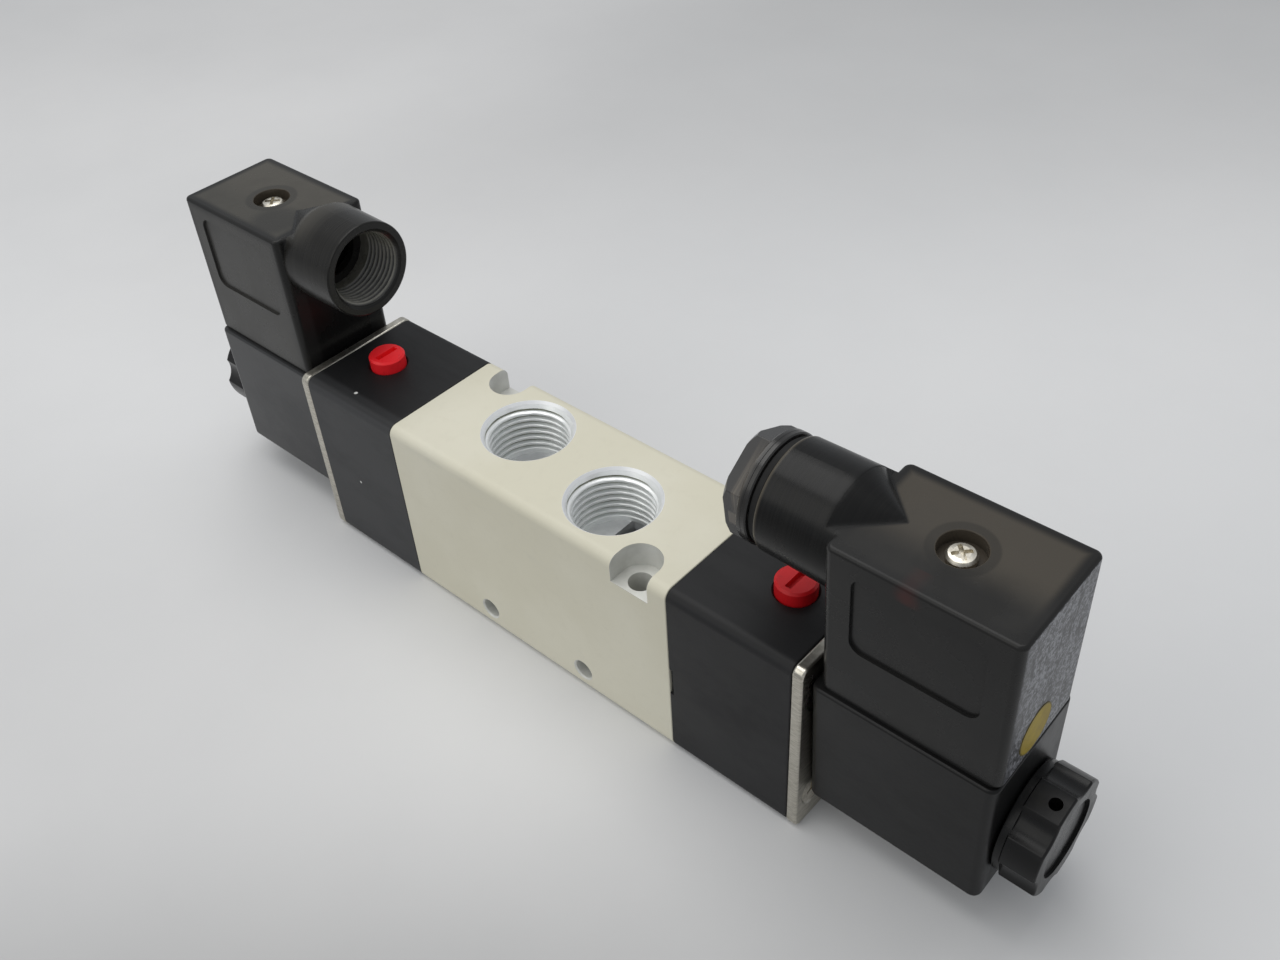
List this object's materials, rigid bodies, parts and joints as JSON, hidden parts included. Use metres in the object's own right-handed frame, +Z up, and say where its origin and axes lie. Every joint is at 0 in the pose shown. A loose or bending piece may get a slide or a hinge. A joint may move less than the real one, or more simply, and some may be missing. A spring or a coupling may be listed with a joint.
{
  "type": "solenoid directional valve",
  "caption": "Pneumatic directional valve with a spool body, a black pilot block and solenoid coil with plug connector at each end, threaded ports and manual override buttons.",
  "frame": {"origin": "centre of the valve's underside", "axes": "+X along the valve towards the end whose connector carries the gland nut, +Z up from the underside towards the working ports, +Y across the width"},
  "size_m": [0.25, 0.034, 0.0885],
  "materials": {
    "body_paint": "cream satin paint on aluminium",
    "block_black": "black satin anodised finish",
    "plate_nickel": "nickel-plated steel with sheared edges",
    "button_red": "red moulded plastic",
    "coil_black": "black moulded encapsulation",
    "connector_smoke": "smoked translucent plastic",
    "gland_smoke": "smoked translucent plastic",
    "nut_black": "glossy black plastic",
    "rubber_black": "black nitrile rubber",
    "seal_rubber": "nitrile rubber seal",
    "spool_alu": "turned aluminium",
    "steel_bright": "stainless steel",
    "spring_steel": "spring steel wire",
    "screw_nickel": "nickel-plated steel",
    "brass": "turned brass",
    "terminal_tin": "tinned brass blade",
    "copper_wire": "enamelled copper winding",
    "bobbin_plastic": "glass-filled nylon bobbin",
    "block_plastic": "dark grey moulded terminal block",
    "lamp_red": "red tinted lamp body",
    "piston_plastic": "acetal piston"
  },
  "bodies": {
    "valve": {"valve_body": "body_paint", "left_pilot_block": "block_black", "left_bore_seal": "seal_rubber", "left_pilot_nozzle": "brass", "left_clamp_plate": "plate_nickel", "left_plate_screws": "screw_nickel", "left_armature_tube": "steel_bright", "left_fixed_core": "steel_bright", "right_pilot_block": "block_black", "right_bore_seal": "seal_rubber", "right_pilot_nozzle": "brass", "right_clamp_plate": "plate_nickel", "right_plate_screws": "screw_nickel", "right_armature_tube": "steel_bright", "right_fixed_core": "steel_bright"},
    "spool": {"spool": "spool_alu", "spool_seals": "seal_rubber", "left_piston": "piston_plastic", "left_piston_seal": "seal_rubber", "right_piston": "piston_plastic", "right_piston_seal": "seal_rubber"},
    "left_override": {"left_override_stem": "steel_bright", "left_stem_seal": "seal_rubber", "left_override_spring": "spring_steel"},
    "left_button": {"left_override_button": "button_red"},
    "left_plunger": {"left_plunger": "steel_bright", "left_plunger_seal": "seal_rubber", "left_plunger_spring": "spring_steel"},
    "left_coil": {"left_coil_housing": "coil_black", "left_coil_bobbin": "bobbin_plastic", "left_coil_winding": "copper_wire", "left_coil_terminals": "terminal_tin", "left_connector_gasket": "rubber_black", "left_connector_housing": "connector_smoke", "left_terminal_block": "block_plastic", "left_wire_clamps": "brass", "left_indicator_lamp": "lamp_red", "left_connector_screw": "screw_nickel"},
    "left_nut": {"left_coil_nut": "nut_black"},
    "right_override": {"right_override_stem": "steel_bright", "right_stem_seal": "seal_rubber", "right_override_spring": "spring_steel"},
    "right_button": {"right_override_button": "button_red"},
    "right_plunger": {"right_plunger": "steel_bright", "right_plunger_seal": "seal_rubber", "right_plunger_spring": "spring_steel"},
    "right_coil": {"right_coil_housing": "coil_black", "right_coil_bobbin": "bobbin_plastic", "right_coil_winding": "copper_wire", "right_coil_terminals": "terminal_tin", "right_connector_gasket": "rubber_black", "right_connector_housing": "connector_smoke", "right_terminal_block": "block_plastic", "right_wire_clamps": "brass", "right_indicator_lamp": "lamp_red", "right_connector_screw": "screw_nickel", "gland_ring": "rubber_black", "gland_seal": "rubber_black"},
    "right_nut": {"right_coil_nut": "nut_black"},
    "right_gland": {"gland_nut": "gland_smoke"}
  },
  "joints": [
    {"name": "spool_shift", "type": "slide", "parent": "valve", "child": "spool", "axis": [1, 0, 0], "range_m": [0, 0.006]},
    {"name": "left_override_push", "type": "slide", "parent": "valve", "child": "left_override", "axis": [0, 0, -1], "range_m": [0, 0.0015], "stiffness_N_per_m": 350, "springref_m": -0.004, "deforming": ["left_override_spring"]},
    {"name": "left_button_lock", "type": "hinge", "parent": "left_override", "child": "left_button", "pos_m": [-0.0623, 0, 0.0486], "axis": [0, 0, 1], "range_deg": [0, 90]},
    {"name": "left_plunger_lift", "type": "slide", "parent": "valve", "child": "left_plunger", "axis": [-1, 0, 0], "range_m": [0, 0.0016], "stiffness_N_per_m": 450, "springref_m": -0.004, "deforming": ["left_plunger_spring"]},
    {"name": "left_coil_swivel", "type": "hinge", "parent": "valve", "child": "left_coil", "pos_m": [-0.096, 0, 0.0237], "axis": [1, 0, 0], "continuous": true},
    {"name": "left_nut_turn", "type": "hinge", "parent": "valve", "child": "left_nut", "pos_m": [-0.1205, 0, 0.0237], "axis": [1, 0, 0], "continuous": true},
    {"name": "right_override_push", "type": "slide", "parent": "valve", "child": "right_override", "axis": [0, 0, -1], "range_m": [0, 0.0015], "stiffness_N_per_m": 350, "springref_m": -0.004, "deforming": ["right_override_spring"]},
    {"name": "right_button_lock", "type": "hinge", "parent": "right_override", "child": "right_button", "pos_m": [0.0623, 0, 0.0486], "axis": [0, 0, 1], "range_deg": [0, 90]},
    {"name": "right_plunger_lift", "type": "slide", "parent": "valve", "child": "right_plunger", "axis": [1, 0, 0], "range_m": [0, 0.0016], "stiffness_N_per_m": 450, "springref_m": -0.004, "deforming": ["right_plunger_spring"]},
    {"name": "right_coil_swivel", "type": "hinge", "parent": "valve", "child": "right_coil", "pos_m": [0.096, 0, 0.0237], "axis": [1, 0, 0], "continuous": true},
    {"name": "right_nut_turn", "type": "hinge", "parent": "valve", "child": "right_nut", "pos_m": [0.1205, 0, 0.0237], "axis": [1, 0, 0], "continuous": true},
    {"name": "gland_nut_turn", "type": "hinge", "parent": "right_coil", "child": "right_gland", "pos_m": [0.06, -0.00258, 0.07654], "axis": [1, 0, 0], "continuous": true}
  ]
}
